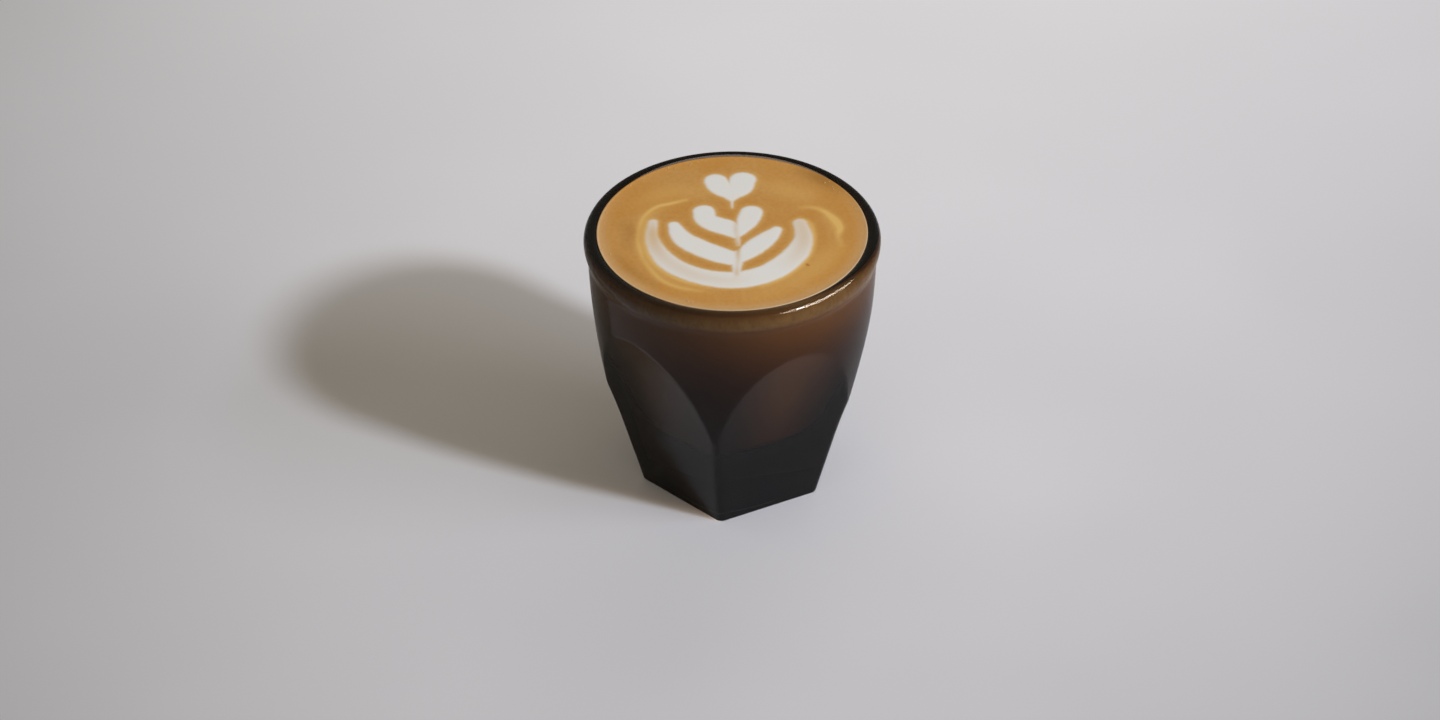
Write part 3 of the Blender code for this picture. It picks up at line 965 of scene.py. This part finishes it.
class CORTADO_OT_glass(bpy.types.Operator):
    """Add the smoky glass, with five flat sides that end in arches"""

    bl_idname = "cortado.glass"
    bl_label = "Smoky Glass"

    def execute(self, context):
        glass = context.scene.cortado_glass
        material = smoky_glass_material(glass)
        values = {
            "Columns": glass.columns,
            "Foot Apothem": glass.foot_apothem,
            "Side Taper": glass.side_taper,
            "Side Flare": glass.side_flare,
            "Flare Start": glass.flare_start,
            "Corner Radius": glass.corner_radius,
            "Foot Edge": glass.foot_edge,
            "Crease": glass.crease,
            "Turn": glass.foot_turn - math.pi / 2,
            "Material": material,
        }
        outline = outline_mesh("glass_outline", glass_profile(glass))
        obj = grow("smoky_tumbler", outline, faceted_glass_tree(glass.sides), values)
        stand_for(obj, "glass")
        return {"FINISHED"}


class CORTADO_OT_drink(bpy.types.Operator):
    """Add the crema with its poured pattern, and the milky coffee under it"""

    bl_idname = "cortado.drink"
    bl_label = "Milk Coffee"

    def execute(self, context):
        drink = context.scene.cortado_drink
        crema = link_object("crema", crema_mesh(drink))
        crema.data.materials.append(crema_material(drink))
        coffee = link_object("milk_coffee", coffee_mesh(drink))
        coffee.data.materials.append(coffee_material(drink))
        stand_for(crema, "coffee")
        stand_for(coffee, "coffee")
        return {"FINISHED"}


class CORTADO_OT_bubbles(bpy.types.Operator):
    """Add the small bubbles where the crema meets the glass"""

    bl_idname = "cortado.bubbles"
    bl_label = "Edge Bubbles"

    def execute(self, context):
        drink = context.scene.cortado_drink
        values = {
            "Count": drink.bubbles,
            "Ring Radius": drink.radius - drink.bubble_size,
            "Spread": drink.bubble_spread,
            "Level": drink.level,
            "Smallest": drink.bubble_size * SMALLEST_BUBBLE,
            "Largest": drink.bubble_size,
            "Seed": BUBBLE_SEED,
            "Material": bubble_material(),
        }
        seed = outline_mesh("bubble_seed", [(0.0, 0.0), (MM, 0.0)])
        obj = grow("edge_bubbles", seed, bubble_ring_tree(), values)
        stand_for(obj, "coffee")
        return {"FINISHED"}


def floor_material(stage):
    """Matt pale paper with faint clouds, painted light that falls off towards its sides, and soft patches of
    painted light and shade.
    """
    material, tree, place = new_material("pale_floor")
    x = tree.axis(place, "X")
    y = tree.axis(place, "Y")
    level, right, back, right_right, back_back, right_back = FLOOR_PAINTED_LIGHT
    # Painted light, brightest near the glass and falling off towards the sides
    light = level + right * x + back * y + right_right * x * x + back_back * y * y + right_back * x * y
    # Soft patches of painted light and shade
    for middle_x, middle_y, radius, strength in FLOOR_PAINTED_PATCHES:
        away_x = (x - middle_x) / radius
        away_y = (y - middle_y) / radius
        light = light + strength * ((away_x * away_x + away_y * away_y) * -1.0).math("EXPONENT")
    light = light.math("MAXIMUM", FLOOR_DARKEST).math("MINIMUM", FLOOR_LIGHTEST)
    cloud = 0.97 + 0.03 * tree.step(tree.noise(place, 9.0, 2.0), 0.35, 0.65)
    finish_opaque(tree, tree.scaled(light * cloud, stage.floor_colour), 0.9, 0.1)
    return material


def towards(azimuth, elevation):
    """A unit vector, with its azimuth counted from +X."""
    flat = math.cos(elevation)
    return Vector((flat * math.cos(azimuth), flat * math.sin(azimuth), math.sin(elevation)))


class CORTADO_OT_stage(bpy.types.Operator):
    """Add the pale floor, the window, fill and glint lights, the light from all round and the camera"""

    bl_idname = "cortado.stage"
    bl_label = "Stage"

    def execute(self, context):
        stage = context.scene.cortado_stage
        mesh = bpy.data.meshes.new("floor")
        signs = ((-1, -1), (1, -1), (1, 1), (-1, 1))
        corners = [(x * FLOOR_REACH, y * FLOOR_REACH, -FLOOR_GAP) for x, y in signs]
        mesh.from_pydata(corners, [], [(0, 1, 2, 3)])
        floor = link_object("floor", mesh)
        mesh.materials.append(floor_material(stage))
        size = stage.window_size
        self.add_light("window", stage, stage.window_power, (size, size), stage.window_azimuth)
        self.add_light("fill", stage, stage.fill_power, (stage.fill_width, size), stage.fill_azimuth)
        strip = (stage.glint_width, stage.glint_height)
        glint = self.add_light("glint", stage, stage.glint_power, strip, stage.glint_azimuth)
        glint.data.color = stage.glint_colour
        receivers = bpy.data.collections.new("glint_receivers")
        receivers.objects.link(context.scene.objects["smoky_tumbler"])
        glint.light_linking.receiver_collection = receivers
        world = bpy.data.worlds.new("sky")
        world.use_nodes = True
        world.node_tree.nodes["Background"].inputs["Color"].default_value = colour(stage.sky)
        context.scene.world = world
        self.add_camera(context.scene, stage)
        self.set_view(context.scene)
        return {"FINISHED"}

    @staticmethod
    def add_light(name, stage, power, size, azimuth):
        """An oval light that faces the glass from the shared height and distance, unseen through it."""
        light = bpy.data.lights.new(name, "AREA")
        light.shape = "ELLIPSE"
        light.size, light.size_y = size
        light.energy = power
        light.color = stage.light_colour
        obj = bpy.data.objects.new(name, light)
        bpy.context.scene.collection.objects.link(obj)
        direction = towards(azimuth, stage.light_elevation)
        obj.location = Vector((0.0, 0.0, GLASS_HEIGHT / 2)) + direction * stage.light_distance
        obj.rotation_euler = direction.to_track_quat("Z", "Y").to_euler()
        obj.visible_transmission = False
        return obj

    @staticmethod
    def add_camera(scene, stage):
        data = bpy.data.cameras.new("camera")
        data.lens = stage.focal_length
        data.sensor_width = SENSOR_WIDTH
        data.clip_end = SIGHT
        camera = bpy.data.objects.new("camera", data)
        scene.collection.objects.link(camera)
        target = Vector((stage.target_x, 0.0, stage.target_z))
        back = towards(-math.pi / 2, stage.elevation)
        right = Vector((1.0, 0.0, 0.0))
        up = back.cross(right)
        turned_right = math.cos(stage.roll) * right + math.sin(stage.roll) * up
        turned_up = math.cos(stage.roll) * up - math.sin(stage.roll) * right
        place = Matrix((turned_right, turned_up, back)).transposed().to_4x4()
        place.translation = target + back * stage.distance
        camera.matrix_world = place
        scene.camera = camera

    @staticmethod
    def set_view(scene):
        scene.view_settings.view_transform = "Standard"
        scene.view_settings.look = "None"
        scene.cycles.max_bounces = 24
        scene.cycles.transmission_bounces = 20
        scene.cycles.transparent_max_bounces = 20
        scene.cycles.diffuse_bounces = 4
        scene.cycles.glossy_bounces = 8
        scene.cycles.sample_clamp_indirect = 40.0
        scene.cycles.caustics_reflective = False
        scene.cycles.use_denoising = True
        scene.cycles.denoising_input_passes = "RGB_ALBEDO"


class CORTADO_PT_panel(bpy.types.Panel):
    """Lists the pieces of the cortado"""

    bl_idname = "CORTADO_PT_panel"
    bl_label = "Cortado"
    bl_space_type = "VIEW_3D"
    bl_region_type = "UI"
    bl_category = "Cortado"

    def draw(self, context):
        for operator in OPERATORS:
            self.layout.operator(operator.bl_idname)


OPERATORS = (CORTADO_OT_glass, CORTADO_OT_drink, CORTADO_OT_bubbles, CORTADO_OT_stage)
SETTINGS = {"cortado_glass": GlassSettings, "cortado_drink": DrinkSettings, "cortado_stage": StageSettings}
CLASSES = (*SETTINGS.values(), *OPERATORS, CORTADO_PT_panel)


def register():
    for kind in CLASSES:
        bpy.utils.register_class(kind)
    for name, kind in SETTINGS.items():
        setattr(bpy.types.Scene, name, PointerProperty(type=kind))


def unregister():
    for name in SETTINGS:
        delattr(bpy.types.Scene, name)
    for kind in reversed(CLASSES):
        bpy.utils.unregister_class(kind)


def main():
    register()
    bpy.ops.cortado.glass()
    bpy.ops.cortado.drink()
    bpy.ops.cortado.bubbles()
    bpy.ops.cortado.stage()


if __name__ == "__main__":
    main()
